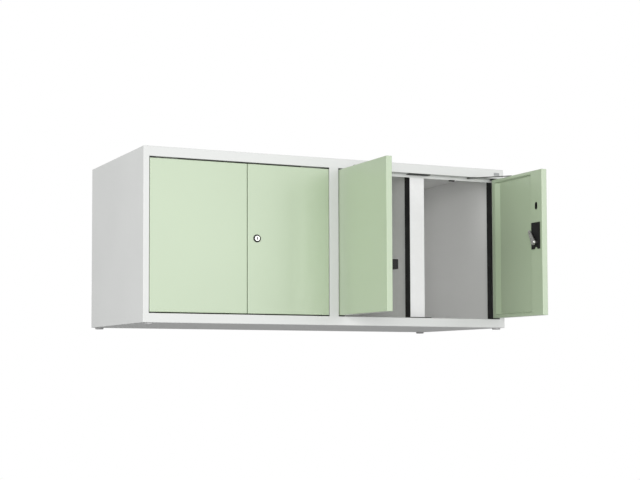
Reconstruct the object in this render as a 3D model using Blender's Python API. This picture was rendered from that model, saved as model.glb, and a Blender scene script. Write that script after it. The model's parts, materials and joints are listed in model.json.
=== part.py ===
"""Sheet-steel top cupboard with two pairs of hinged doors and four compartments.

The left pair stands closed and the right pair stands open by a right angle.
Sizes are in millimetres and are scaled to metres when a mesh is made.
X runs along the front, Y from the front to the rear, Z up.
The origin is the middle of the flat underside.
"""
import math

import bmesh
import bpy
from mathutils import Matrix, Vector

MM = 0.001

# carcass
WIDTH = 1200.0
DEPTH = 500.0
HEIGHT = 500.0
SHEET = 1.0
GAP = 0.3

# front frame
TOP_RAIL = 29.0
BOTTOM_RAIL = 27.0
SIDE_STILE = 17.0
CENTRE_STILE = 30.0
REBATE_DEPTH = 24.0
REBATE_WIDTH = 8.7
STILE_DEPTH = 54.0
STOP_FLANGE = 10.0
BASE_RETURN = 44.0

# posts behind the door joints
POST_WIDTH = 50.0
POST_CENTRES = (300.0, 900.0)
POST_FRONT = 25.3
STRIP_THICK = 1.5
SLOT_Z = (239.0, 296.0)
SLOT_Y = (27.3, 33.3)

# door leaves
LEAF_THICK = 18.0
LEAF_BOTTOM = 30.2
LEAF_TOP = 466.7
WIDE_LEAF = 298.5
NARROW_LEAF = 263.5
LEAF_GAP = 2.0
EDGE_RADIUS = 1.0
HINGE_MARGIN = 16.0
HINGE_SLOPE = 17.0
FREE_MARGIN = 56.6
END_MARGIN = 8.0
EDGE_SLOPE = 3.0
RECESS = 9.0
OPEN_ANGLE = math.radians(90.0)

# hinge blocks
PIVOT_INSET = 4.5
PIN_RADIUS = 2.0
PIN_BORE = 2.5
PIN_REACH = 4.0
BLOCK_LENGTH = 19.5
BLOCK_Y = (1.0, 20.0)

# cam lock
LOCK_INSET = 29.3
LOCK_HEIGHT = 249.5
FLANGE_RADIUS = 11.5
SLEEVE_RADIUS = 9.6
BARREL_RADIUS = 7.6
BARREL_BORE = 8.0
TAIL_RADIUS = 4.5
TAIL_BORE = 5.5
KEYWAY = (3.6, 9.6)
CASE_INSET = 10.0
CASE_WIDTH = 42.0
CASE_Z = (229.0, 309.0)
CASE_DEPTH = (18.3, 20.3)
CAM_DEPTH = (28.5, 31.5)
CAM_LENGTH = 42.0
CAM_TIP = 5.5
CAM_HUB = 9.5
CAM_LEAN = math.radians(30.5)
RELEASE_SLOT = (12.0, 347.5, 370.5)

# catch block on each wide leaf
CATCH_X = (217.0, 243.0)
CATCH_BACK = 67.5
CATCH_Z = (154.0, 182.0)
CATCH_PLATE_X = (212.0, 276.0)
CATCH_PLATE_Z = (147.0, 189.0)
CATCH_PLATE_THICK = 2.0

# door stays and buffers
STUD_REACH = 88.0
STUD_DEPTH = 9.0
STUD_RADIUS = 2.5
STUD_BORE = 3.0
STAY_END = (97.5, 8.5)
STAY_HALF_WIDTH = 3.5
STAY_Z = (467.6, 469.6)
GUIDE_RADIUS = 4.5
GUIDE_Z = (467.1, 470.6)
BUFFER_LENGTH = 75.0
BUFFER_Y = (5.0, 22.0)

# feet and plate
FOOT_RADIUS = 13.0
FOOT_HEIGHT = 5.0
FOOT_INSET = (21.5, 16.0)
STEM_RADIUS = 4.0
PLATE_X = (1165.0, 1184.5)
PLATE_Z = (480.0, 489.0)

ROUND = 32

FINISHES = {
    "light_grey_paint": ((0.76, 0.78, 0.77), 0.42, 0.0),
    "pale_green_paint": ((0.43, 0.55, 0.35), 0.40, 0.0),
    "black_plastic": ((0.013, 0.013, 0.013), 0.55, 0.0),
    "grey_plastic": ((0.30, 0.30, 0.30), 0.60, 0.0),
    "zinc": ((0.62, 0.62, 0.60), 0.32, 1.0),
    "plain_plate": ((0.45, 0.46, 0.46), 0.35, 0.8),
}

INSIDE_X = (SHEET + GAP, WIDTH - SHEET - GAP)
INSIDE_Z = (SHEET + GAP, HEIGHT - SHEET - GAP)
WALL_Z = (BOTTOM_RAIL + GAP, HEIGHT - SHEET - GAP)
RAIL_Z = HEIGHT - TOP_RAIL
FRAME_Z = (BOTTOM_RAIL + GAP, RAIL_Z - GAP)
REAR_Y = DEPTH - SHEET - GAP
CENTRE_EDGES = ((WIDTH - CENTRE_STILE) / 2, (WIDTH + CENTRE_STILE) / 2)


def clear_scene():
    for obj in list(bpy.data.objects):
        bpy.data.objects.remove(obj, do_unlink=True)


def finish(name):
    """The Principled material of one finish."""
    if name in bpy.data.materials:
        return bpy.data.materials[name]
    colour, roughness, metallic = FINISHES[name]
    material = bpy.data.materials.new(name)
    material.use_nodes = True
    shader = material.node_tree.nodes["Principled BSDF"]
    shader.inputs["Base Color"].default_value = (*colour, 1.0)
    shader.inputs["Roughness"].default_value = roughness
    shader.inputs["Metallic"].default_value = metallic
    material.diffuse_color = (*colour, 1.0)
    return material


def cupboard_point(x, y, z):
    """World metres of a point measured from the lower front left corner."""
    return Vector((x - WIDTH / 2, y - DEPTH / 2, z)) * MM


def add_piece(name, bm, finish_name, place=None, parent=None, smooth=False):
    """Turn a bmesh in millimetres into a named object in metres."""
    bmesh.ops.recalc_face_normals(bm, faces=bm.faces)
    bmesh.ops.scale(bm, vec=(MM, MM, MM), verts=bm.verts)
    mesh = bpy.data.meshes.new(name)
    bm.to_mesh(mesh)
    bm.free()
    if smooth:
        mesh.shade_smooth()
        mesh.set_sharp_from_angle(angle=math.radians(35))
    obj = bpy.data.objects.new(name, mesh)
    bpy.context.scene.collection.objects.link(obj)
    obj.data.materials.append(finish(finish_name))
    obj.location = cupboard_point(0, 0, 0) if place is None else place
    obj.parent = parent
    return obj


def loft(rings, closed=False):
    """Closed body through rings of points. The end rings are capped unless the rings close up."""
    bm = bmesh.new()
    loops = [[bm.verts.new(p) for p in ring] for ring in rings]
    pairs = list(zip(loops, loops[1:]))
    if closed:
        pairs.append((loops[-1], loops[0]))
    else:
        bm.faces.new(loops[0][::-1])
        bm.faces.new(loops[-1])
    for low, high in pairs:
        for i in range(len(low)):
            j = (i + 1) % len(low)
            bm.faces.new((low[i], low[j], high[j], high[i]))
    return bm


def prism(outline, axis, start, end):
    """Extrude a flat outline along X, Y or Z. The outline holds the other two coordinates."""
    order = {"X": (2, 0, 1), "Y": (0, 2, 1), "Z": (0, 1, 2)}[axis]
    return loft([[[(*p, along)[i] for i in order] for p in outline] for along in (start, end)])


def box(x, y, z):
    """A box between two limits on each axis, given in either order."""
    x0, x1 = sorted(x)
    y0, y1 = sorted(y)
    return prism([(x0, y0), (x1, y0), (x1, y1), (x0, y1)], "Z", *sorted(z))


def circle(radius, centre=(0.0, 0.0), steps=ROUND):
    turns = [2 * math.pi * i / steps for i in range(steps)]
    return [(centre[0] + radius * math.cos(t), centre[1] + radius * math.sin(t)) for t in turns]


def turned(profile, closed=False):
    """Body of revolution about Y from (radius, y) points."""
    rings = [[(x, y, z) for x, z in circle(radius)] for radius, y in profile]
    return loft(rings, closed)


def folded(path, thick=SHEET):
    """Outline of a sheet folded at right angles, thickened to the left of its visible line."""
    points = [Vector(p) for p in path]
    inner = []
    for i, point in enumerate(points):
        runs = points[max(i - 1, 0):i + 2]
        steps = [(b - a).normalized() for a, b in zip(runs, runs[1:])]
        inner.append(point + thick * sum((Vector((-s.y, s.x)) for s in steps), Vector((0.0, 0.0))))
    return [tuple(p) for p in points + inner[::-1]]


def cutter(name, bm, place=None, parent=None):
    obj = add_piece(name, bm, "grey_plastic", place, parent)
    obj.hide_render = True
    obj.display_type = "WIRE"
    return obj


def combine(target, operation, *tools):
    for tool in tools:
        modifier = target.modifiers.new(tool.name, "BOOLEAN")
        modifier.operation = operation
        modifier.solver = "EXACT"
        modifier.object = tool


# ---------------------------------------------------------------- carcass


def top_panel():
    add_piece("top_panel", box(INSIDE_X, (0, DEPTH), (HEIGHT - SHEET, HEIGHT)), "light_grey_paint")


def side_panels():
    add_piece("left_side_panel", box((0, SHEET), (0, DEPTH), (0, HEIGHT)), "light_grey_paint")
    right = box((WIDTH - SHEET, WIDTH), (0, DEPTH), (0, HEIGHT))
    add_piece("right_side_panel", right, "light_grey_paint")


def rear_panel():
    add_piece("rear_panel", box(INSIDE_X, (DEPTH - SHEET, DEPTH), INSIDE_Z), "light_grey_paint")


def floor_panel():
    """Compartment floor, level with the top of the bottom rail."""
    sheet = box(INSIDE_X, (SHEET + GAP, REAR_Y), (BOTTOM_RAIL - SHEET, BOTTOM_RAIL))
    add_piece("floor_panel", sheet, "light_grey_paint")


def base_panel():
    """Flat underside between the front and the rear base returns."""
    sheet = box(INSIDE_X, (BASE_RETURN + GAP, DEPTH - BASE_RETURN - GAP), (0, SHEET))
    add_piece("base_panel", sheet, "light_grey_paint")


def stem_hole(name, x, y):
    return cutter(name, prism(circle(STEM_RADIUS + 0.5, (x, y)), "Z", -3, 4))


def bottom_rail():
    """Front rail with its return under the cupboard."""
    outline = folded([(BASE_RETURN, 0), (0, 0), (0, BOTTOM_RAIL)], -SHEET)
    rail = add_piece("bottom_rail", prism(outline, "X", *INSIDE_X), "light_grey_paint")
    x, y = FOOT_INSET
    holes = (stem_hole("front_left_stem_hole", x, y), stem_hole("front_right_stem_hole", WIDTH - x, y))
    combine(rail, "DIFFERENCE", *holes)


def rear_base_rail():
    """Angle that closes the base at the rear."""
    path = [(DEPTH - BASE_RETURN, 0), (REAR_Y, 0), (REAR_Y, BOTTOM_RAIL - SHEET - GAP)]
    rail = add_piece("rear_base_rail", prism(folded(path), "X", *INSIDE_X), "light_grey_paint")
    x, y = FOOT_INSET
    y = DEPTH - y
    holes = (stem_hole("rear_left_stem_hole", x, y), stem_hole("rear_right_stem_hole", WIDTH - x, y))
    combine(rail, "DIFFERENCE", *holes)


def top_rail():
    """Front rail folded back and then down into a door stop, which is notched at the stiles."""
    path = [(0, HEIGHT - SHEET - GAP), (0, RAIL_Z), (REBATE_DEPTH, RAIL_Z),
            (REBATE_DEPTH, RAIL_Z - STOP_FLANGE)]
    rail = add_piece("top_rail", prism(folded(path), "X", *INSIDE_X), "light_grey_paint")
    reach = REBATE_WIDTH + GAP
    spans = [(-1, SIDE_STILE + reach), (CENTRE_EDGES[0] - reach, CENTRE_EDGES[1] + reach),
             (WIDTH - SIDE_STILE - reach, WIDTH + 1)]
    for i, span in enumerate(spans):
        notch = box(span, (REBATE_DEPTH - GAP, REBATE_DEPTH + 2), (RAIL_Z - STOP_FLANGE - 2, RAIL_Z + 3))
        combine(rail, "DIFFERENCE", cutter(f"stop_notch_{i}", notch))


def rebate(edge, side):
    """Visible line of a stile from its face round the rebate to its rear edge."""
    inner = edge + side * REBATE_WIDTH
    return [(edge, 0), (edge, REBATE_DEPTH), (inner, REBATE_DEPTH), (inner, STILE_DEPTH)]


def stiles():
    left = [(INSIDE_X[0], 0)] + rebate(SIDE_STILE, 1)
    centre = rebate(CENTRE_EDGES[0], -1)[::-1] + rebate(CENTRE_EDGES[1], 1)
    right = rebate(WIDTH - SIDE_STILE, -1)[::-1] + [(INSIDE_X[1], 0)]
    for name, path in (("left_stile", left), ("centre_stile", centre), ("right_stile", right)):
        add_piece(name, prism(folded(path), "Z", *FRAME_Z), "light_grey_paint")


def upright_wall(name, x, front):
    sheet = box((x - SHEET / 2, x + SHEET / 2), (front, REAR_Y), WALL_Z)
    add_piece(name, sheet, "light_grey_paint")


def walls():
    upright_wall("left_partition", POST_CENTRES[0], POST_FRONT + SHEET + GAP)
    upright_wall("centre_wall", WIDTH / 2, REBATE_DEPTH + SHEET + GAP)
    upright_wall("right_partition", POST_CENTRES[1], POST_FRONT + SHEET + GAP)


def post(name, centre):
    """Channel that both leaves of a pair close in front of, slotted for the lock cam."""
    x0 = centre - POST_WIDTH / 2
    x1 = centre + POST_WIDTH / 2
    path = [(x0, STILE_DEPTH), (x0, POST_FRONT), (x1, POST_FRONT), (x1, STILE_DEPTH)]
    channel = add_piece(name, prism(folded(path), "Z", *FRAME_Z), "light_grey_paint")
    combine(channel, "DIFFERENCE", cutter(name + "_cam_slot", box((x1 - 4, x1 + 3), SLOT_Y, SLOT_Z)))


def edge_strip(name, x):
    """Black strip on the left-facing side of a post or stile."""
    y = (POST_FRONT + 0.5, STILE_DEPTH)
    z = (FRAME_Z[0] + GAP, FRAME_Z[1] - GAP)
    add_piece(name, box((x - GAP - STRIP_THICK, x - GAP), y, z), "black_plastic")


def edge_strips():
    edge_strip("edge_strip_1", POST_CENTRES[0] - POST_WIDTH / 2)
    edge_strip("edge_strip_2", CENTRE_EDGES[0] - REBATE_WIDTH)
    edge_strip("edge_strip_3", POST_CENTRES[1] - POST_WIDTH / 2)
    edge_strip("edge_strip_4", WIDTH - SIDE_STILE - REBATE_WIDTH)


def foot(name, x, y):
    """Disc foot with a stem that plugs into the base."""
    profile = [(FOOT_RADIUS - 1.5, -FOOT_HEIGHT), (FOOT_RADIUS, -FOOT_HEIGHT + 1.5), (FOOT_RADIUS, -GAP),
               (STEM_RADIUS, -GAP), (STEM_RADIUS, 6.0)]
    bm = loft([[(*p, z) for p in circle(radius)] for radius, z in profile])
    add_piece(name, bm, "grey_plastic", cupboard_point(x, y, 0), smooth=True)


def feet():
    x, y = FOOT_INSET
    foot("front_left_foot", x, y)
    foot("front_right_foot", WIDTH - x, y)
    foot("rear_left_foot", x, DEPTH - y)
    foot("rear_right_foot", WIDTH - x, DEPTH - y)


def blank_plate():
    """Plain plate at the right end of the top rail."""
    add_piece("blank_plate", box(PLATE_X, (-1.0, -GAP), PLATE_Z), "plain_plate")


def buffers(pair, centre):
    """Black pads above and below the place where the two leaves of a pair meet."""
    x = (centre - BUFFER_LENGTH / 2, centre + BUFFER_LENGTH / 2)
    top = box(x, BUFFER_Y, (LEAF_TOP + 1.7, RAIL_Z - GAP))
    add_piece(f"{pair}_top_buffer", top, "black_plastic")
    bottom = box(x, BUFFER_Y, (BOTTOM_RAIL + GAP, LEAF_BOTTOM - 0.6))
    add_piece(f"{pair}_bottom_buffer", bottom, "black_plastic")


def hinge_block(name, hinge_edge, side, low, high, pin_end):
    """Black block on the rail with the pin that a leaf turns on."""
    near = hinge_edge - side * (LEAF_GAP - GAP)
    block = box((near, near + side * BLOCK_LENGTH), BLOCK_Y, (low, high))
    piece = add_piece(name, block, "black_plastic")
    centre = (hinge_edge + side * PIVOT_INSET, PIVOT_INSET)
    pin = prism(circle(PIN_RADIUS, centre, 24), "Z", *sorted((pin_end, (low + high) / 2)))
    combine(piece, "UNION", cutter(name + "_pin", pin))


def hinge_blocks(number, hinge_edge, side):
    hinge_block(f"door_{number}_top_hinge_block", hinge_edge, side,
                LEAF_TOP + GAP, RAIL_Z - GAP, LEAF_TOP - PIN_REACH)
    hinge_block(f"door_{number}_bottom_hinge_block", hinge_edge, side,
                BOTTOM_RAIL + GAP, LEAF_BOTTOM - GAP, LEAF_BOTTOM + PIN_REACH)


# ---------------------------------------------------------------- doors


class Leaf:
    """One door leaf, in a frame with its pivot at the origin and the leaf closed.

    side is +1 where the leaf runs to the right of its pivot and -1 where it runs to the left.
    """

    def __init__(self, number, hinge_edge, side, width, angle):
        self.name = f"door_{number}"
        self.side = side
        self.width = width
        self.turn = -side * angle
        self.hinge = bpy.data.objects.new(self.name + "_hinge", None)
        bpy.context.scene.collection.objects.link(self.hinge)
        self.hinge.location = cupboard_point(hinge_edge + side * PIVOT_INSET, PIVOT_INSET, 0)
        self.hinge.rotation_euler = (0, 0, self.turn)

    def x(self, distance):
        """Leaf coordinate of a distance from the hinge edge towards the free edge."""
        return self.side * (distance - PIVOT_INSET)

    def y(self, depth):
        """Leaf coordinate of a depth behind the front face of the closed leaf."""
        return depth - PIVOT_INSET

    def box(self, distance, depth, z):
        return box([self.x(d) for d in distance], [self.y(d) for d in depth], z)

    def ring(self, inset, depth):
        """Rectangle of the leaf's outline, inset by (hinge side, free side, both ends)."""
        near, far, ends = inset
        x0 = self.x(near)
        x1 = self.x(self.width - far)
        z0 = LEAF_BOTTOM + ends
        z1 = LEAF_TOP - ends
        return [(x, self.y(depth), z) for x, z in ((x0, z0), (x1, z0), (x1, z1), (x0, z1))]

    def upright(self, distance, depth, radius, z):
        """Upright round bar, used for pins and their bores."""
        return prism(circle(radius, (self.x(distance), self.y(depth)), 24), "Z", *z)

    def lock_axis(self):
        return Vector((self.x(self.width - LOCK_INSET), self.y(0), LOCK_HEIGHT))

    def add(self, name, bm, finish_name, place=(0, 0, 0), smooth=False):
        return add_piece(f"{self.name}_{name}", bm, finish_name, Vector(place) * MM, self.hinge, smooth)

    def tool(self, name, bm, place=(0, 0, 0)):
        return cutter(f"{self.name}_{name}", bm, Vector(place) * MM, self.hinge)


def outer_pan(leaf):
    """Front skin with its four edges folded back, open at the rear."""
    soft = EDGE_RADIUS * (1 - math.sqrt(0.5))
    steps = [(EDGE_RADIUS, 0), (soft, soft), (0, EDGE_RADIUS),
             (0, LEAF_THICK), (SHEET, LEAF_THICK), (SHEET, SHEET)]
    rings = [leaf.ring((s, s, s), depth) for s, depth in steps]
    pan = leaf.add("outer_pan", loft(rings), "pale_green_paint")
    ends = {"top": (LEAF_TOP - 4, LEAF_TOP + 3), "bottom": (LEAF_BOTTOM - 3, LEAF_BOTTOM + 4)}
    for end, z in ends.items():
        bore = leaf.upright(PIVOT_INSET, PIVOT_INSET, PIN_BORE, z)
        combine(pan, "DIFFERENCE", leaf.tool(end + "_pin_bore", bore))
    stud = leaf.upright(PIVOT_INSET + STUD_REACH, STUD_DEPTH, STUD_BORE, ends["top"])
    combine(pan, "DIFFERENCE", leaf.tool("stud_bore", stud))
    return pan


def inner_panel(leaf):
    """Pressed inner sheet: flat margins round a shallow recess with a wide slope by the hinge."""
    edge = SHEET + GAP
    outer = (edge, edge, edge)
    rim = (HINGE_MARGIN, FREE_MARGIN, edge + END_MARGIN)
    floor = (HINGE_MARGIN + HINGE_SLOPE, FREE_MARGIN + EDGE_SLOPE, edge + END_MARGIN + EDGE_SLOPE)
    back = [(floor, LEAF_THICK - RECESS), (rim, LEAF_THICK), (outer, LEAF_THICK)]
    front = [(inset, depth - SHEET) for inset, depth in back[::-1]]
    rings = [leaf.ring(inset, depth) for inset, depth in back + front]
    return leaf.add("inner_panel", loft(rings), "pale_green_paint")


def stay(leaf):
    """Bar that turns on a stud in the leaf and is guided under the top rail."""
    stud = Vector((leaf.side * STUD_REACH, STUD_DEPTH - PIVOT_INSET))
    end = Vector((leaf.side * STAY_END[0], STAY_END[1]))
    opened = Matrix.Rotation(-leaf.side * OPEN_ANGLE, 2) @ stud
    length = (end - opened).length
    if leaf.turn:
        run = end - opened
    else:
        drop = end.y - stud.y
        run = Vector((leaf.side * math.sqrt(length ** 2 - drop ** 2), drop))
    swing = math.atan2(run.y, run.x) - leaf.turn
    quarter = [math.pi * i / 12 for i in range(13)]
    outline = [(length + STAY_HALF_WIDTH * math.sin(t), -STAY_HALF_WIDTH * math.cos(t)) for t in quarter]
    outline += [(-STAY_HALF_WIDTH * math.sin(t), STAY_HALF_WIDTH * math.cos(t)) for t in quarter]
    place = (*stud, 0)
    bar = leaf.add("stay", prism(outline, "Z", *STAY_Z), "black_plastic", place)
    middle = sum(STAY_Z) / 2
    pin = leaf.tool("stay_pin", prism(circle(STUD_RADIUS, steps=24), "Z", LEAF_TOP - 4.5, middle), place)
    guide = leaf.tool("stay_guide", prism(circle(GUIDE_RADIUS, (length, 0), 24), "Z", *GUIDE_Z), place)
    for piece in (bar, pin, guide):
        piece.rotation_euler = (0, 0, swing)
    combine(bar, "UNION", pin, guide)


def catch_block(leaf):
    """Black block that stands off the inner face and closes beside the post."""
    far = LEAF_THICK + GAP + CATCH_PLATE_THICK
    plate = leaf.box(CATCH_PLATE_X, (LEAF_THICK + GAP, far), CATCH_PLATE_Z)
    piece = leaf.add("catch_block", plate, "black_plastic")
    block = leaf.box(CATCH_X, (far - 1.0, CATCH_BACK), CATCH_Z)
    combine(piece, "UNION", leaf.tool("catch_body", block))


def tapered(hub, tip, length):
    """Outline of a lever from a round hub to a round tip."""
    lean = math.acos((hub - tip) / length)
    steps = 12
    hub_turns = [lean + (2 * math.pi - 2 * lean) * i / steps for i in range(steps + 1)]
    tip_turns = [-lean + 2 * lean * i / steps for i in range(steps + 1)]
    outline = [(hub * math.sin(t), hub * math.cos(t)) for t in hub_turns]
    outline += [(tip * math.sin(t), length + tip * math.cos(t)) for t in tip_turns]
    return outline


def lock_openings(leaf, pan, panel):
    """Bores through both sheets and the slot beside the lock."""
    axis = leaf.lock_axis()
    front = leaf.tool("sleeve_bore", turned([(SLEEVE_RADIUS + GAP, -2), (SLEEVE_RADIUS + GAP, 3)]), axis)
    combine(pan, "DIFFERENCE", front)
    rear = leaf.tool("tail_bore", turned([(TAIL_BORE, LEAF_THICK - 3), (TAIL_BORE, LEAF_THICK + 2)]), axis)
    width, low, high = RELEASE_SLOT
    radius = width / 2
    turns = [math.pi * i / 12 for i in range(13)]
    outline = [(axis.x + radius * math.cos(t), high - radius + radius * math.sin(t)) for t in turns]
    outline += [(axis.x - radius * math.cos(t), low + radius - radius * math.sin(t)) for t in turns]
    slot = prism(outline, "Y", leaf.y(LEAF_THICK - 3), leaf.y(LEAF_THICK + 2))
    combine(panel, "DIFFERENCE", rear, leaf.tool("release_slot", slot))


def lock(leaf):
    """Cam lock: sleeve, turning barrel, cam and the black case behind the leaf."""
    axis = leaf.lock_axis()
    sleeve = [(BARREL_BORE, -2.0), (FLANGE_RADIUS - 0.6, -2.0), (FLANGE_RADIUS, -1.4),
              (FLANGE_RADIUS, -GAP), (SLEEVE_RADIUS, -GAP), (SLEEVE_RADIUS, 15.5), (BARREL_BORE, 15.5)]
    leaf.add("lock_sleeve", turned(sleeve, closed=True), "black_plastic", axis, smooth=True)

    barrel = [(BARREL_RADIUS - 0.5, -3.6), (BARREL_RADIUS, -3.1), (BARREL_RADIUS, 15.8),
              (TAIL_RADIUS, 15.8), (TAIL_RADIUS, CAM_DEPTH[1] + GAP),
              (6.5, CAM_DEPTH[1] + GAP), (6.5, CAM_DEPTH[1] + 2.5)]
    plug = leaf.add("lock_barrel", turned(barrel), "zinc", axis, smooth=True)
    keyway = box((-KEYWAY[0] / 2, KEYWAY[0] / 2), (-6, 12), (-KEYWAY[1] / 2, KEYWAY[1] / 2))
    combine(plug, "DIFFERENCE", leaf.tool("keyway", keyway, axis))

    outline = tapered(CAM_HUB, CAM_TIP, CAM_LENGTH - CAM_TIP)
    lever = leaf.add("lock_cam", prism(outline, "Y", *CAM_DEPTH), "zinc", axis)
    bore = turned([(TAIL_RADIUS + GAP, CAM_DEPTH[0] - 2), (TAIL_RADIUS + GAP, CAM_DEPTH[1] + 2)])
    combine(lever, "DIFFERENCE", leaf.tool("cam_eye", bore, axis))
    lever.rotation_euler = (0, -leaf.side * CAM_LEAN, 0)

    near = leaf.width - CASE_INSET
    case = leaf.add("lock_case", leaf.box((near - CASE_WIDTH, near), CASE_DEPTH, CASE_Z), "black_plastic")
    hole = leaf.tool("case_bore", turned([(TAIL_BORE, 16), (TAIL_BORE, 24)]), axis)
    notch = leaf.tool("case_notch", turned([(7.5, 16), (7.5, 24)]), (axis.x, axis.y, CASE_Z[0] - 1.0))
    combine(case, "DIFFERENCE", hole, notch)


def door(number, hinge_edge, side, width, angle):
    leaf = Leaf(number, hinge_edge, side, width, angle)
    pan = outer_pan(leaf)
    panel = inner_panel(leaf)
    if side < 0:
        lock_openings(leaf, pan, panel)
        lock(leaf)
    else:
        catch_block(leaf)
    stay(leaf)
    hinge_blocks(number, hinge_edge, side)


def pair(name, first_number, left_edge, right_edge, angle):
    door(first_number, left_edge + LEAF_GAP, 1, WIDE_LEAF, angle)
    door(first_number + 1, right_edge - LEAF_GAP, -1, NARROW_LEAF, angle)
    buffers(name, (left_edge + right_edge) / 2)


def build():
    clear_scene()
    top_panel()
    side_panels()
    rear_panel()
    floor_panel()
    base_panel()
    bottom_rail()
    rear_base_rail()
    top_rail()
    stiles()
    walls()
    post("left_post", POST_CENTRES[0])
    post("right_post", POST_CENTRES[1])
    edge_strips()
    feet()
    blank_plate()
    pair("left", 1, SIDE_STILE, CENTRE_EDGES[0], 0.0)
    pair("right", 3, CENTRE_EDGES[1], WIDTH - SIDE_STILE, OPEN_ANGLE)


build()
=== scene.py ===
"""Sheet-steel top cupboard: welded shell, four door leaves, hardware finishes and a studio stage.

Lengths in the property groups are in metres. X runs along the front, Y to the rear, Z up.
"""
import json
import math

import bpy
from bpy.props import FloatProperty, FloatVectorProperty, PointerProperty
from mathutils import Matrix, Vector


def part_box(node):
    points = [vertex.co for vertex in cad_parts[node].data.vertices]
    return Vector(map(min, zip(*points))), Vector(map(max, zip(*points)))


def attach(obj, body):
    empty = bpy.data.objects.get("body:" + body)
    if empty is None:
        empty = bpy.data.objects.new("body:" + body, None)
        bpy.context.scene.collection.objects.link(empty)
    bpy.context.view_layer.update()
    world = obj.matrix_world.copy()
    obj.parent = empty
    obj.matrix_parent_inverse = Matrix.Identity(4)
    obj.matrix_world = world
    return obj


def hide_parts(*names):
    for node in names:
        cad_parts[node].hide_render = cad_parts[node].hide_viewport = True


bl_info = {
    "name": "Locker Top Cupboard",
    "version": (1, 0, 0),
    "blender": (4, 5, 0),
    "location": "View3D > Sidebar > Cupboard",
    "description": "Builds a sheet-steel top cupboard with hinged doors on its fixed frame",
    "category": "Add Mesh",
}

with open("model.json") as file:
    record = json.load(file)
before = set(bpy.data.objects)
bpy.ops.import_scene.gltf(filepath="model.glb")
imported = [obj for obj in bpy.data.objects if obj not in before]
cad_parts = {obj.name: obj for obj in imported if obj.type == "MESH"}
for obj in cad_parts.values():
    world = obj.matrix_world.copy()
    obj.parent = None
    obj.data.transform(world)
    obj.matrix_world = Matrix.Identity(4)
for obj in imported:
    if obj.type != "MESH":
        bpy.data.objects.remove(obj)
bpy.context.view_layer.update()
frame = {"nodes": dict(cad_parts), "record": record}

WIDTH, DEPTH, HEIGHT = 1.2, 0.5, 0.5
HALF_WIDTH, HALF_DEPTH = WIDTH / 2, DEPTH / 2
SHEET = 0.001
RAIL_TOP = 0.471
RAIL_BOTTOM = 0.027
SIDE_STILE = 0.017
HALF_CENTRE_STILE = 0.015
REBATE_DEPTH = 0.024
REBATE_WIDTH = 0.0087
STILE_DEPTH = 0.054
OPENING_SIDE = HALF_WIDTH - SIDE_STILE
STOP_DROP = 0.010
HALF_WALL = 0.0008
FOLD_STEP = 0.0001
CLOSE = 1e-5
FOLD_SEGMENTS = 3

LEAF_THICK = 0.018
PIVOT_INSET = 0.0045
LEAF_MIDDLE = LEAF_THICK / 2 - PIVOT_INSET
HINGE_MARGINS = (0.016, 0.033)
FREE_MARGINS = (0.0596, 0.0566)
END_MARGINS = (0.0093, 0.0123)
PIN_BORE = 0.0025
STUD_BORE = 0.003
STUD_REACH = 0.088
LOCK_INSET = 0.0293
LOCK_HEIGHT = 0.2495
SLEEVE_BORE = 0.0099
TAIL_BORE = 0.0055
SLOT_RADIUS = 0.006
SLOT_ENDS = (0.3535, 0.3645)
SLOT_DEPTH = (-0.002, 0.020)
SKIN = 0.0002
# reach of the black paint around the lock and slot axes: painted shade on the bore walls
BORE_SHADE_REACH = {"lock": 0.0105, "slot": 0.0125}

BUMPER_STARTS = {"left_stop_bumper": -0.1845, "right_stop_bumper": 0.4145}
BUMPER_Y = (-0.2315, -0.224)
BUMPER_Z = (0.4567, 0.4607)
BUMPER_RADIUS = 0.0008
# size and depth of the black blocks inside the keyways, painted shade
KEYWAY_SHADE_HALF = (0.00165, 0.00165, 0.00465)
KEYWAY_SHADE_DEPTH = (0.001, 0.015)

FLOOR_RADIUS = 14.0
AMBIENT = 0.55
CAMERA_PLACE = (-1.8243071, -3.8297104, -0.1408886)
CAMERA_YAW, CAMERA_PITCH = 0.4014, 0.0539
SENSOR_WIDTH = 36.0
FOCAL_RATIO = 1348.9475 / 640.0
CAMERA_SHIFT = (0.125, 0.09375)

SHELL_NODES = (
    "left_side_panel", "right_side_panel", "top_panel", "rear_panel", "floor_panel", "base_panel",
    "bottom_rail", "rear_base_rail", "top_rail", "left_stile", "centre_stile", "right_stile",
)
LEAVES = (
    # number, hinge side, opened by a right angle
    (1, 1, False),
    (2, -1, False),
    (3, 1, True),
    (4, -1, True),
)


# ---------------------------------------------------------------- mesh helpers


def clear_selection():
    if bpy.context.object and bpy.context.object.mode != "OBJECT":
        bpy.ops.object.mode_set(mode="OBJECT")
    bpy.ops.object.select_all(action="DESELECT")


def make_active(piece):
    clear_selection()
    piece.select_set(True)
    bpy.context.view_layer.objects.active = piece


def add_block(name, low, high):
    """A cube primitive stretched to the box between two corners, with its place in its mesh."""
    clear_selection()
    low, high = Vector(low), Vector(high)
    bpy.ops.mesh.primitive_cube_add(size=1.0, location=(low + high) / 2)
    piece = bpy.context.object
    piece.name = name
    piece.data.name = name
    piece.scale = high - low
    bpy.ops.object.transform_apply(location=True, rotation=True, scale=True)
    return piece


def add_rod(name, centre, radius, length, axis, sides=32):
    clear_selection()
    turn = {"X": (0, math.pi / 2, 0), "Y": (math.pi / 2, 0, 0), "Z": (0, 0, 0)}[axis]
    bpy.ops.mesh.primitive_cylinder_add(vertices=sides, radius=radius, depth=length,
                                        location=centre, rotation=turn)
    piece = bpy.context.object
    piece.name = name
    bpy.ops.object.transform_apply(location=True, rotation=True, scale=True)
    return piece


def edit(piece):
    make_active(piece)
    bpy.ops.object.mode_set(mode="EDIT")
    bpy.ops.mesh.select_mode(type="FACE")


def leave_edit():
    bpy.ops.object.mode_set(mode="OBJECT")


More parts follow.
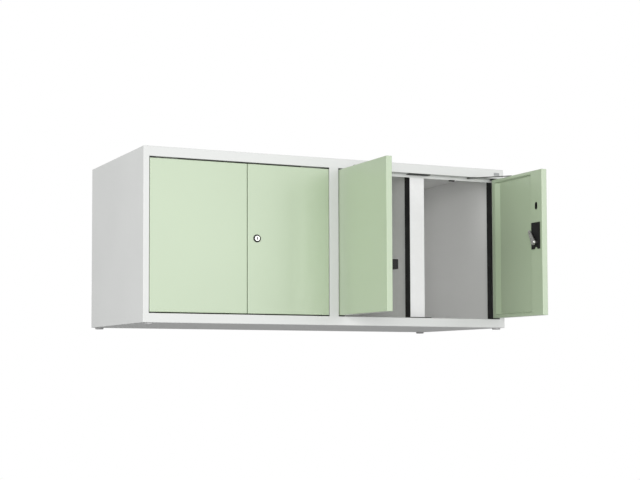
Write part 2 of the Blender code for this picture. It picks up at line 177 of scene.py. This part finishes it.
def slice_all(piece, axis, *places):
    """Cut the whole mesh by planes across one axis."""
    edit(piece)
    normal = Vector((axis == "X", axis == "Y", axis == "Z"))
    for place in places:
        bpy.ops.mesh.select_all(action="SELECT")
        bpy.ops.mesh.bisect(plane_co=normal * place, plane_no=normal, use_fill=False)
    leave_edit()


def pick_faces(piece, test):
    """Select the faces whose middle and normal pass a test. Called in object mode."""
    mesh = piece.data
    for edge in mesh.edges:
        edge.select = False
    for vertex in mesh.vertices:
        vertex.select = False
    count = 0
    for face in mesh.polygons:
        face.select = bool(test(face.center, face.normal))
        count += face.select
    if not count:
        raise RuntimeError(f"no face was found on {piece.name}")


def push_faces(piece, test, offset):
    """Extrude the faces that pass a test and move them."""
    make_active(piece)
    pick_faces(piece, test)
    bpy.ops.object.mode_set(mode="EDIT")
    bpy.ops.mesh.select_mode(type="FACE")
    bpy.ops.mesh.extrude_region_move(TRANSFORM_OT_translate={"value": offset})
    leave_edit()


def move_points(piece, test, offset):
    """Move the vertices that pass a test."""
    make_active(piece)
    for face in piece.data.polygons:
        face.select = False
    for edge in piece.data.edges:
        edge.select = False
    for vertex in piece.data.vertices:
        vertex.select = bool(test(vertex.co))
    bpy.ops.object.mode_set(mode="EDIT")
    bpy.ops.mesh.select_mode(type="VERT")
    bpy.ops.transform.translate(value=offset)
    leave_edit()


def bevel_edges(piece, test, radius):
    """Bevel the edges whose two ends pass a test."""
    edit(piece)
    bpy.ops.mesh.select_mode(type="EDGE")
    bpy.ops.mesh.select_all(action="DESELECT")
    leave_edit()
    points = piece.data.vertices
    for line in piece.data.edges:
        a, b = (points[i].co for i in line.vertices)
        line.select = bool(test(a, b))
    bpy.ops.object.mode_set(mode="EDIT")
    bpy.ops.mesh.bevel(offset=radius, segments=FOLD_SEGMENTS, affect="EDGES")
    leave_edit()


def apply_modifier(piece, kind, **settings):
    make_active(piece)
    modifier = piece.modifiers.new(kind.lower(), kind)
    for name, value in settings.items():
        setattr(modifier, name, value)
    bpy.ops.object.modifier_apply(modifier=modifier.name)


def drill(piece, *tools):
    """Cut tools out of a piece and remove them."""
    for tool in tools:
        apply_modifier(piece, "BOOLEAN", operation="DIFFERENCE", solver="EXACT", object=tool)
        bpy.data.objects.remove(tool, do_unlink=True)


def soften(piece, radius, angle=40.0):
    """Round the folds that are sharper than an angle in degrees."""
    apply_modifier(piece, "BEVEL", width=radius, segments=FOLD_SEGMENTS, limit_method="ANGLE",
                   angle_limit=math.radians(angle), harden_normals=False, miter_outer="MITER_ARC")


def smooth_folds(piece):
    """Shade the rounded folds smoothly and keep the flat faces flat."""
    make_active(piece)
    bpy.ops.object.shade_smooth_by_angle(angle=math.radians(35))
    apply_modifier(piece, "WEIGHTED_NORMAL", keep_sharp=True)


def mend(piece):
    """Merge doubles and point the faces outwards."""
    edit(piece)
    bpy.ops.mesh.select_all(action="SELECT")
    bpy.ops.mesh.remove_doubles(threshold=CLOSE)
    bpy.ops.mesh.normals_make_consistent(inside=False)
    leave_edit()


# ---------------------------------------------------------------- material helpers


class Wire:
    """A node socket whose arithmetic adds Math nodes."""

    def __init__(self, tree, socket):
        self.tree = tree
        self.socket = socket

    def _math(self, operation, first, second=None, clamp=False):
        values = {0: first} if second is None else {0: first, 1: second}
        return add_node(self.tree, "ShaderNodeMath", {"operation": operation, "use_clamp": clamp}, values)

    def __add__(self, other):
        return self._math("ADD", self, other)

    def __radd__(self, other):
        return self._math("ADD", other, self)

    def __sub__(self, other):
        return self._math("SUBTRACT", self, other)

    def __rsub__(self, other):
        return self._math("SUBTRACT", other, self)

    def __mul__(self, other):
        return self._math("MULTIPLY", self, other)

    def __rmul__(self, other):
        return self._math("MULTIPLY", other, self)

    def clamped(self):
        return self._math("ADD", self, 0.0, clamp=True)


def add_node(tree, kind, settings=None, values=None, output=0):
    """Add any node: its settings first, then the values or links of its sockets."""
    node = tree.nodes.new(kind)
    for name, value in (settings or {}).items():
        if name == "stops":
            ramp = node.color_ramp
            while len(ramp.elements) < len(value):
                ramp.elements.new(0.5)
            for element, (place, colour) in zip(ramp.elements, value):
                element.position = place
                element.color = colour
        else:
            setattr(node, name, value)
    for name, value in (values or {}).items():
        if isinstance(value, Wire):
            tree.links.new(value.socket, node.inputs[name])
        else:
            node.inputs[name].default_value = value
    return Wire(tree, node.outputs[output])


def mix_colour(tree, mask, first, second):
    """Colour that goes from first to second as mask goes from 0 to 1."""
    return add_node(tree, "ShaderNodeMix", {"data_type": "RGBA"}, {0: mask, 6: first, 7: second}, output=2)


def ramp(tree, value, low, high):
    """0 to 1 as the value goes from low to high."""
    stops = ((low, (0, 0, 0, 1)), (high, (1, 1, 1, 1)))
    return add_node(tree, "ShaderNodeValToRGB", {"stops": stops}, {"Fac": value})


def noise(tree, place, scale, detail=3.0, rough=0.5):
    values = {"Vector": place, "Scale": scale, "Detail": detail, "Roughness": rough}
    return add_node(tree, "ShaderNodeTexNoise", {}, values)


def new_finish(name, metallic=0.0, specular=0.5, coat=0.0):
    """An empty Principled material with object coordinates: (material, tree, shader, place)."""
    material = bpy.data.materials.new(name)
    material.use_nodes = True
    tree = material.node_tree
    shader = tree.nodes["Principled BSDF"]
    shader.inputs["Metallic"].default_value = metallic
    shader.inputs["Specular IOR Level"].default_value = specular
    shader.inputs["Coat Weight"].default_value = coat
    shader.inputs["Coat Roughness"].default_value = 0.3
    shader.inputs["Coat IOR"].default_value = 1.6
    place = add_node(tree, "ShaderNodeTexCoord", output=3)
    return material, tree, shader, place


def connect(tree, shader, **sockets):
    for name, wire in sockets.items():
        tree.links.new(wire.socket, shader.inputs[name.replace("_", " ")])


def relief(tree, height, strength, distance):
    values = {"Height": height, "Strength": strength, "Distance": distance}
    return add_node(tree, "ShaderNodeBump", {}, values)


def grey(level):
    return (level, level, level, 1.0)


def shade(colour, factor):
    return (*(min(1.0, c * factor) for c in colour[:3]), 1.0)


def powder_coat(name, colour, gloss, coat=0.0):
    """Stoved powder coat: fine orange peel, slow colour drift, a little dust and rubbed edges."""
    material, tree, shader, place = new_finish(name, specular=0.5, coat=coat)
    peel = noise(tree, place, 420.0, 2.0)
    speck = noise(tree, place, 1500.0, 1.0)
    drift = noise(tree, place, 3.5, 3.0)
    smear = noise(tree, place, 14.0, 4.0, 0.6)
    base = mix_colour(tree, ramp(tree, drift, 0.35, 0.65), shade(colour, 0.985), shade(colour, 1.015))
    dusty = ramp(tree, smear, 0.62, 0.85) * 0.18
    base = mix_colour(tree, dusty, base, shade(colour, 0.9))
    edges = add_node(tree, "ShaderNodeNewGeometry", output="Pointiness")
    rubbed = ramp(tree, edges, 0.52, 0.60) * ramp(tree, noise(tree, place, 60.0), 0.45, 0.7) * 0.25
    base = mix_colour(tree, rubbed, base, shade(colour, 1.12))
    rough = (drift * 0.06 + smear * 0.08 + (gloss - 0.07)).clamped()
    bumps = relief(tree, peel * 0.8 + speck * 0.2, 0.10, 0.0003)
    connect(tree, shader, Base_Color=base, Roughness=rough, Normal=bumps)
    return material


def moulded_plastic(name, level, gloss):
    """Moulded plastic with fine grain and paler scuffs."""
    material, tree, shader, place = new_finish(name, specular=0.2)
    grain = noise(tree, place, 900.0, 2.0)
    scuff = ramp(tree, noise(tree, place, 45.0, 5.0, 0.7), 0.58, 0.75)
    base = mix_colour(tree, scuff * 0.5, grey(level), grey(level * 1.8))
    rough = (scuff * 0.12 + grain * 0.06 + gloss).clamped()
    connect(tree, shader, Base_Color=base, Roughness=rough, Normal=relief(tree, grain, 0.15, 0.0002))
    return material


def plated_zinc(name, colour):
    """Bright zinc plate with drawn lines and cloudy patches."""
    material, tree, shader, place = new_finish(name, metallic=1.0)
    stretch = add_node(tree, "ShaderNodeMapping", {}, {"Vector": place, "Scale": (400.0, 400.0, 2500.0)})
    lines = noise(tree, stretch, 1.0, 2.0)
    cloud = noise(tree, place, 160.0, 3.0)
    base = mix_colour(tree, ramp(tree, cloud, 0.35, 0.7), shade(colour, 0.86), shade(colour, 1.05))
    rough = (lines * 0.10 + cloud * 0.10 + 0.18).clamped()
    connect(tree, shader, Base_Color=base, Roughness=rough, Normal=relief(tree, lines, 0.12, 0.0001))
    return material


def satin_plate(name, colour):
    """Satin aluminium, brushed along its length."""
    material, tree, shader, place = new_finish(name, metallic=0.4)
    stretch = add_node(tree, "ShaderNodeMapping", {}, {"Vector": place, "Scale": (30.0, 900.0, 2200.0)})
    lines = noise(tree, stretch, 1.0, 3.0)
    base = mix_colour(tree, lines, shade(colour, 0.92), shade(colour, 1.06))
    rough = (lines * 0.15 + 0.28).clamped()
    connect(tree, shader, Base_Color=base, Roughness=rough, Normal=relief(tree, lines, 0.15, 0.0001))
    return material


def wear(piece, material):
    piece.data.materials.clear()
    piece.data.materials.append(material)


def finish_named(name):
    return bpy.data.materials[name]


# ---------------------------------------------------------------- sizes and colours


class CarcassSettings(bpy.types.PropertyGroup):
    fold_radius: FloatProperty(name="Fold radius", description="Outer radius of the folded steel",
                               default=0.0016, min=0.0004, max=0.004, unit="LENGTH")
    paint: FloatVectorProperty(name="Carcass paint", description="Colour of the carcass powder coat",
                               default=(0.62, 0.63, 0.62), size=3, subtype="COLOR", min=0.0, max=1.0)
    # a paler copy of the carcass grey: the extra brightness is painted light in the shaded compartments
    inner_lit_paint: FloatVectorProperty(name="Inner paint", description="Colour of the compartment walls",
                                     default=(0.88, 0.88, 0.87), size=3, subtype="COLOR", min=0.0, max=1.0)
    post_paint: FloatVectorProperty(name="Post paint", description="Colour of the posts behind the doors",
                                    default=(0.74, 0.74, 0.74), size=3, subtype="COLOR", min=0.0, max=1.0)


class DoorSettings(bpy.types.PropertyGroup):
    fold_radius: FloatProperty(name="Leaf edge radius", description="Outer radius of the folded leaf edges",
                               default=0.0012, min=0.0004, max=0.003, unit="LENGTH")
    recess: FloatProperty(name="Recess", description="Depth of the pressed inner recess",
                          default=0.009, min=0.002, max=0.014, unit="LENGTH")
    paint: FloatVectorProperty(name="Door paint", description="Colour of the door powder coat",
                               default=(0.365, 0.455, 0.305), size=3, subtype="COLOR", min=0.0, max=1.0)


class HardwareSettings(bpy.types.PropertyGroup):
    bumper_length: FloatProperty(name="Bumper length", description="Length of the door stop bumpers",
                                 default=0.018, min=0.010, max=0.040, unit="LENGTH")
    zinc: FloatVectorProperty(name="Zinc", description="Colour of the plated lock parts",
                              default=(0.75, 0.75, 0.73), size=3, subtype="COLOR", min=0.0, max=1.0)


class StageSettings(bpy.types.PropertyGroup):
    floor_height: FloatProperty(name="Floor height", description="Height of the studio floor",
                                default=-1.8, min=-3.0, max=0.0, unit="LENGTH")
    key_power: FloatProperty(name="Key light", description="Power of the large front light",
                             default=33.0, min=0.0, max=2000.0, unit="POWER")
    side_power: FloatProperty(name="Side light", description="Power of the light from the left",
                              default=185.0, min=0.0, max=2000.0, unit="POWER")
    fill_power: FloatProperty(name="Fill light", description="Power of the light into the cupboard",
                              default=84.0, min=0.0, max=2000.0, unit="POWER")


# ---------------------------------------------------------------- operators


class CUPBOARD_OT_finishes(bpy.types.Operator):
    """Make the paints, plastics and metals of the cupboard"""
    bl_idname = "cupboard.finishes"
    bl_label = "Finishes"

    def execute(self, context):
        scene = context.scene
        powder_coat("carcass_powder_coat", scene.cupboard_carcass.paint, 0.42)
        powder_coat("inner_lit_powder_coat", scene.cupboard_carcass.inner_lit_paint, 0.5)
        powder_coat("post_powder_coat", scene.cupboard_carcass.post_paint, 0.42)
        powder_coat("door_powder_coat", scene.cupboard_doors.paint, 0.34, coat=1.0)
        moulded_plastic("black_plastic_and_shade_paint", 0.012, 0.45)
        moulded_plastic("grey_plastic_moulding", 0.42, 0.5)
        plated_zinc("zinc_plate", scene.cupboard_hardware.zinc)
        satin_plate("blank_satin_plate", (0.26, 0.27, 0.27))
        return {"FINISHED"}


def near(value, *levels):
    """True where a length is one of the given ones."""
    return any(abs(value - level) < CLOSE for level in levels)


def outer_edge(a, b):
    """True for an edge of the cupboard's outer box, given its two ends."""
    sides = all(near(abs(p.x), HALF_WIDTH) for p in (a, b))
    faces = all(near(abs(p.y), HALF_DEPTH) for p in (a, b))
    ends = any(near(a.z, level) and near(b.z, level) for level in (0, HEIGHT))
    return sides + faces + ends >= 2


def rim_edge(a, b):
    """True for an edge around a door opening, on the front face."""
    if not (near(a.y, -HALF_DEPTH) and near(b.y, -HALF_DEPTH)):
        return False
    middle = (a + b) / 2
    upright = a.x == b.x and near(abs(a.x), OPENING_SIDE, HALF_CENTRE_STILE)
    level = a.z == b.z and near(a.z, RAIL_BOTTOM, RAIL_TOP)
    beside = upright and RAIL_BOTTOM < middle.z < RAIL_TOP
    across = level and HALF_CENTRE_STILE < abs(middle.x) < OPENING_SIDE
    return beside or across


def opening(centre, normal):
    """True for the front face of a door opening."""
    inside = HALF_CENTRE_STILE < abs(centre.x) < OPENING_SIDE and RAIL_BOTTOM < centre.z < RAIL_TOP
    return inside and normal.y < -0.5


def compartment_wall(place):
    """True for the walls of the compartments, and false for the outer skin."""
    half_sheet = SHEET / 2
    return (abs(place.x) < HALF_WIDTH - half_sheet and place.y < HALF_DEPTH - half_sheet
            and SHEET < place.z < HEIGHT - half_sheet)


def push_back(shell, level, run):
    """Extrude the back wall of the openings from a depth, and return its new depth."""
    def back_wall(centre, normal):
        return normal.y < -0.5 and abs(centre.y - level) < 2 * CLOSE

    push_faces(shell, back_wall, (0, run, 0))
    return level + run


def shift_rim(shell, depth, axis, place, run):
    """Move the rim of the back wall at one place along X or Z."""
    index = "XYZ".index(axis)
    offset = [0.0, 0.0, 0.0]
    offset[index] = run
    move_points(shell, lambda p: near(p.y, depth) and near(p[index], place), offset)


class CUPBOARD_OT_shell(bpy.types.Operator):
    """Model the welded outer shell with its front frame and compartment openings"""
    bl_idname = "cupboard.shell"
    bl_label = "Carcass shell"

    def execute(self, context):
        radius = context.scene.cupboard_carcass.fold_radius
        shell = add_block("carcass_shell", (-HALF_WIDTH, -HALF_DEPTH, 0), (HALF_WIDTH, HALF_DEPTH, HEIGHT))
        slice_all(shell, "X", -OPENING_SIDE, -HALF_CENTRE_STILE, HALF_CENTRE_STILE, OPENING_SIDE)
        slice_all(shell, "Z", RAIL_BOTTOM, RAIL_TOP)
        bevel_edges(shell, outer_edge, radius)
        push_faces(shell, opening, (0, REBATE_DEPTH, 0))
        bevel_edges(shell, rim_edge, radius)
        wide = self.fold_frame(shell)
        push_back(shell, wide, HALF_DEPTH - SHEET - wide)
        mend(shell)
        smooth_folds(shell)
        wear(shell, finish_named("carcass_powder_coat"))
        shell.data.materials.append(finish_named("inner_lit_powder_coat"))
        # the compartment walls take the paler inner grey, painted light inside the compartments
        for face in shell.data.polygons:
            if face.center.y > wide and compartment_wall(face.center):
                face.material_index = 1
        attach(shell, "carcass")
        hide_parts(*SHELL_NODES)
        return {"FINISHED"}

    @staticmethod
    def fold_frame(shell):
        """Fold the rebate, the door stop and the stiles behind the front, and return the depth reached."""
        rebate = -HALF_DEPTH + REBATE_DEPTH
        lip = push_back(shell, rebate, FOLD_STEP)
        for sign in (-1, 1):
            shift_rim(shell, lip, "X", sign * OPENING_SIDE, -sign * REBATE_WIDTH)
            shift_rim(shell, lip, "X", sign * HALF_CENTRE_STILE, sign * REBATE_WIDTH)
        shift_rim(shell, lip, "Z", RAIL_TOP, -STOP_DROP)

        stop_back = rebate + SHEET
        push_back(shell, lip, stop_back - lip)
        top = push_back(shell, stop_back, FOLD_STEP)
        stop_z = RAIL_TOP - STOP_DROP
        shift_rim(shell, top, "Z", stop_z, HEIGHT - SHEET - stop_z)

        stile_back = -HALF_DEPTH + STILE_DEPTH
        push_back(shell, top, stile_back - top)
        wide = push_back(shell, stile_back, FOLD_STEP)
        narrow = OPENING_SIDE - REBATE_WIDTH
        middle = HALF_CENTRE_STILE + REBATE_WIDTH
        for sign in (-1, 1):
            shift_rim(shell, wide, "X", sign * narrow, sign * (HALF_WIDTH - SHEET - narrow))
            shift_rim(shell, wide, "X", sign * middle, -sign * (middle - HALF_WALL))
        return wide


class Leaf:
    """One door leaf in its own frame, with its pivot at the origin of X and Y and its outer face at -Y."""

    def __init__(self, number, side, opened):
        self.number = number
        self.side = side
        low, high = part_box(f"door_{number}_outer_pan")
        self.low, self.high = low.z, high.z
        self.width = max(high.x - low.x, high.y - low.y)
        self.lock_x = self.x(self.width - LOCK_INSET)
        pivot_x = low.x + PIVOT_INSET if side > 0 else high.x - PIVOT_INSET
        pivot_y = high.y - PIVOT_INSET if opened else low.y + PIVOT_INSET
        self.turn = Matrix.Rotation(-side * math.pi / 2 if opened else 0.0, 4, "Z")
        self.place = Matrix.Translation((pivot_x, pivot_y, 0)) @ self.turn

    def x(self, distance):
        """Place on X at a distance from the hinge edge."""
        return self.side * (distance - PIVOT_INSET)

    def block(self):
        hinge, free = sorted((self.x(0), self.x(self.width)))
        return add_block(f"door_{self.number}_leaf", (hinge, -PIVOT_INSET, self.low),
                         (free, LEAF_THICK - PIVOT_INSET, self.high))

    def press_recess(self, piece, recess):
        """Slice the inner face along the margins and sink the middle."""
        margins = [self.x(m) for m in HINGE_MARGINS + tuple(self.width - m for m in FREE_MARGINS)]
        slice_all(piece, "X", *margins)
        outer, inner = END_MARGINS
        slice_all(piece, "Z", self.low + outer, self.low + inner, self.high - inner, self.high - outer)
        x0, x1 = sorted(margins[1:3])
        z0, z1 = self.low + inner, self.high - inner

        def floor(p):
            in_x = x0 - CLOSE < p.x < x1 + CLOSE
            in_z = z0 - CLOSE < p.z < z1 + CLOSE
            return in_x and in_z and near(p.y, LEAF_THICK - PIVOT_INSET)

        move_points(piece, floor, (0, -recess, 0))

    def drill_hinge(self, piece):
        for z in (self.low, self.high):
            drill(piece, add_rod("pin_bore", (0, 0, z), PIN_BORE, 0.012, "Z", 24))
        stud = (self.side * STUD_REACH, PIVOT_INSET, self.high)
        drill(piece, add_rod("stud_bore", stud, STUD_BORE, 0.012, "Z", 24))

    def drill_lock(self, piece):
        """Bores for the lock, and a blind slot in the inner face that leaves the outer skin whole."""
        x = self.lock_x
        drill(piece, add_rod("sleeve_bore", (x, -PIVOT_INSET, LOCK_HEIGHT), SLEEVE_BORE, 0.033, "Y", 48))
        drill(piece, add_rod("tail_bore", (x, LEAF_THICK, LOCK_HEIGHT), TAIL_BORE, 0.03, "Y", 32))
        start, end = SLOT_DEPTH
        low, high = SLOT_ENDS
        slot = add_block("slot", (x - SLOT_RADIUS, start, low), (x + SLOT_RADIUS, end, high))
        ends = [add_rod("slot_end", (x, (start + end) / 2, z), SLOT_RADIUS, end - start, "Y", 24)
                for z in SLOT_ENDS]
        drill(piece, slot, *ends)

    def paint_bore_shade(self, piece):
        """Paint the walls of the lock bores and the release slot black: painted shade for the dark hollow
        of the leaf.
        """
        # the black plastic finish doubles as painted shade on the bore walls
        piece.data.materials.append(finish_named("black_plastic_and_shade_paint"))
        lock = self.place @ Vector((self.lock_x, LEAF_MIDDLE, LOCK_HEIGHT))
        slot = Vector((lock.x, lock.y, sum(SLOT_ENDS) / 2))
        normal = self.turn @ Vector((0, 1, 0))
        for face in piece.data.polygons:
            for centre, reach in ((lock, BORE_SHADE_REACH["lock"]), (slot, BORE_SHADE_REACH["slot"])):
                offset = face.center - centre
                along = offset.dot(normal)
                across = (offset - normal * along).length
                if across < reach and abs(along) < LEAF_THICK / 2 - SKIN:
                    face.material_index = 1


class CUPBOARD_OT_doors(bpy.types.Operator):
    """Model the four door leaves with pressed recess, folded edges and bores"""
    bl_idname = "cupboard.doors"
    bl_label = "Door leaves"

    def execute(self, context):
        settings = context.scene.cupboard_doors
        for number, side, opened in LEAVES:
            leaf = Leaf(number, side, opened)
            piece = leaf.block()
            leaf.press_recess(piece, settings.recess)
            soften(piece, settings.fold_radius, angle=20.0)
            leaf.drill_hinge(piece)
            has_lock = side < 0
            if has_lock:
                leaf.drill_lock(piece)
            smooth_folds(piece)
            piece.data.transform(leaf.place)
            piece.data.update()
            wear(piece, finish_named("door_powder_coat"))
            if has_lock:
                # the bore walls get black paint as painted shade
                leaf.paint_bore_shade(piece)
            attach(piece, f"door_{number}")
            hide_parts(f"door_{number}_outer_pan", f"door_{number}_inner_panel")
        return {"FINISHED"}


class CUPBOARD_OT_hardware(bpy.types.Operator):
    """Give the lock, hinge, stay and trim pieces their finishes and add the stop bumpers"""
    bl_idname = "cupboard.hardware"
    bl_label = "Hardware"

    def execute(self, context):
        slots = {item["node"]: item["material_slot"] for item in frame["record"]["subparts"]}
        finishes = {
            "light_grey_paint": "carcass_powder_coat",
            "pale_green_paint": "door_powder_coat",
            "black_plastic": "black_plastic_and_shade_paint",
            "grey_plastic": "grey_plastic_moulding",
            "zinc": "zinc_plate",
            "plain_plate": "blank_satin_plate",
        }
        for name, node in frame["nodes"].items():
            wear(node, finish_named(finishes[slots[name]]))
        for name in ("left_post", "right_post"):
            wear(frame["nodes"][name], finish_named("post_powder_coat"))
        for name in ("left_partition", "right_partition"):
            # the partitions take the paler inner grey as painted light
            wear(frame["nodes"][name], finish_named("inner_lit_powder_coat"))
        length = context.scene.cupboard_hardware.bumper_length
        for name, start in BUMPER_STARTS.items():
            low, high = zip(*((start, start + length), BUMPER_Y, BUMPER_Z))
            bumper = add_block(name, low, high)
            soften(bumper, BUMPER_RADIUS)
            smooth_folds(bumper)
            wear(bumper, finish_named("black_plastic_and_shade_paint"))
            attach(bumper, "carcass")
        # black blocks inside the keyways as painted shade
        self.keyway_shade_blocks()
        return {"FINISHED"}

    @staticmethod
    def keyway_shade_blocks():
        """Black blocks that stand a millimetre inside the two keyways: painted shade for the dark depth of
        the keyways.
        """
        front, back = KEYWAY_SHADE_DEPTH
        for number, opened in ((2, False), (4, True)):
            low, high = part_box(f"door_{number}_lock_barrel")
            middle = (low + high) / 2
            start, end = middle - Vector(KEYWAY_SHADE_HALF), middle + Vector(KEYWAY_SHADE_HALF)
            if opened:
                start.x, end.x = high.x - back, high.x - front
            else:
                start.y, end.y = low.y + front, low.y + back
            shade_block = add_block(f"door_{number}_keyway_shade_block", start, end)
            wear(shade_block, finish_named("black_plastic_and_shade_paint"))
            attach(shade_block, f"lock_{number}")


def add_area_light(name, power, size, place, target):
    light = bpy.data.lights.new(name, "AREA")
    light.energy = power
    light.shape = "RECTANGLE"
    light.size, light.size_y = size
    lamp = bpy.data.objects.new(name, light)
    bpy.context.scene.collection.objects.link(lamp)
    lamp.location = place
    lamp.rotation_euler = (Vector(target) - Vector(place)).to_track_quat("-Z", "Y").to_euler()


class CUPBOARD_OT_stage(bpy.types.Operator):
    """Set up the pale floor, the soft lights and the camera"""
    bl_idname = "cupboard.stage"
    bl_label = "Studio stage"

    def execute(self, context):
        settings = context.scene.cupboard_stage
        self.floor(settings.floor_height)
        self.world()
        edge_power = settings.key_power * 0.95
        lights = (
            # name, power, size, place, target
            ("key_light", settings.key_power, (1.5, 2.2), (0.75, -4.2, 0.75), (-0.3, -0.25, 0.25)),
            ("edge_light", edge_power, (1.7, 2.2), (3.0, -4.2, 0.75), (0.4, -0.25, 0.25)),
            ("side_light", settings.side_power, (3.0, 3.0), (-6.0, -3.0, 1.5), (0, -0.25, 0.25)),
            ("fill_light", settings.fill_power, (1.4, 1.4), (-2.3, -4.9, 0.35), (0.1, 0, 0.22)),
        )
        for light in lights:
            add_area_light(*light)
        self.camera()
        return {"FINISHED"}

    @staticmethod
    def floor(height):
        clear_selection()
        bpy.ops.mesh.primitive_circle_add(vertices=96, radius=FLOOR_RADIUS, fill_type="NGON",
                                          location=(0, 0, height))
        floor = bpy.context.object
        floor.name = "studio_floor"
        bpy.ops.object.transform_apply(location=True, rotation=True, scale=True)
        material, tree, shader, place = new_finish("studio_floor_glow_finish", specular=0.0)
        flat = add_node(tree, "ShaderNodeVectorMath", {"operation": "MULTIPLY"}, {0: place, 1: (1, 1, 0)})
        run = add_node(tree, "ShaderNodeVectorMath", {"operation": "LENGTH"}, {0: flat}, output=1)
        # mid grey at the centre to near white at the rim, and the rim glows: painted light that fades the
        # floor into the white backdrop
        rim = ramp(tree, run * (1.0 / FLOOR_RADIUS), 0.35, 0.95)
        base = mix_colour(tree, rim, grey(0.46), grey(0.97))
        painted_rim_glow = mix_colour(tree, rim, grey(0.0), grey(0.32))
        shader.inputs["Emission Strength"].default_value = 1.0
        connect(tree, shader, Base_Color=base, Roughness=(rim * 0.05 + 0.9).clamped(), Emission_Color=painted_rim_glow)
        wear(floor, material)

    @staticmethod
    def world():
        world = bpy.data.worlds.new("studio_world")
        world.use_nodes = True
        tree = world.node_tree
        background = tree.nodes["Background"]
        background.inputs["Color"].default_value = grey(1.0)
        seen = add_node(tree, "ShaderNodeLightPath")
        tree.links.new((seen * (1.0 - AMBIENT) + AMBIENT).socket, background.inputs["Strength"])
        bpy.context.scene.world = world
        bpy.context.scene.view_settings.view_transform = "Standard"

    @staticmethod
    def camera():
        data = bpy.data.cameras.new("studio_camera")
        camera = bpy.data.objects.new("studio_camera", data)
        bpy.context.scene.collection.objects.link(camera)
        data.sensor_width = SENSOR_WIDTH
        data.lens = SENSOR_WIDTH * FOCAL_RATIO
        data.shift_x, data.shift_y = CAMERA_SHIFT
        data.clip_start = 0.01
        data.clip_end = 100.0
        camera.location = CAMERA_PLACE
        level = math.cos(CAMERA_PITCH)
        ahead = Vector((math.sin(CAMERA_YAW) * level, math.cos(CAMERA_YAW) * level, math.sin(CAMERA_PITCH)))
        camera.rotation_euler = ahead.to_track_quat("-Z", "Y").to_euler()
        bpy.context.scene.camera = camera


class CUPBOARD_PT_panel(bpy.types.Panel):
    """Buttons and settings of the cupboard"""
    bl_label = "Top cupboard"
    bl_idname = "CUPBOARD_PT_panel"
    bl_space_type = "VIEW_3D"
    bl_region_type = "UI"
    bl_category = "Cupboard"

    def draw(self, context):
        layout = self.layout
        for operator in OPERATORS:
            layout.operator(operator.bl_idname)
        for attribute, group in GROUPS.items():
            box = layout.box()
            settings = getattr(context.scene, attribute)
            for name in group.__annotations__:
                box.prop(settings, name)


GROUPS = {
    "cupboard_carcass": CarcassSettings,
    "cupboard_doors": DoorSettings,
    "cupboard_hardware": HardwareSettings,
    "cupboard_stage": StageSettings,
}
OPERATORS = (
    CUPBOARD_OT_finishes, CUPBOARD_OT_shell, CUPBOARD_OT_doors, CUPBOARD_OT_hardware, CUPBOARD_OT_stage,
)


def register():
    for group in GROUPS.values():
        bpy.utils.register_class(group)
    for attribute, group in GROUPS.items():
        setattr(bpy.types.Scene, attribute, PointerProperty(type=group))
    for operator in OPERATORS:
        bpy.utils.register_class(operator)
    bpy.utils.register_class(CUPBOARD_PT_panel)


def unregister():
    bpy.utils.unregister_class(CUPBOARD_PT_panel)
    for operator in reversed(OPERATORS):
        bpy.utils.unregister_class(operator)
    for attribute, group in GROUPS.items():
        delattr(bpy.types.Scene, attribute)
        bpy.utils.unregister_class(group)


def main():
    register()
    bpy.ops.cupboard.finishes()
    bpy.ops.cupboard.shell()
    bpy.ops.cupboard.doors()
    bpy.ops.cupboard.hardware()
    bpy.ops.cupboard.stage()


if __name__ == "__main__":
    main()
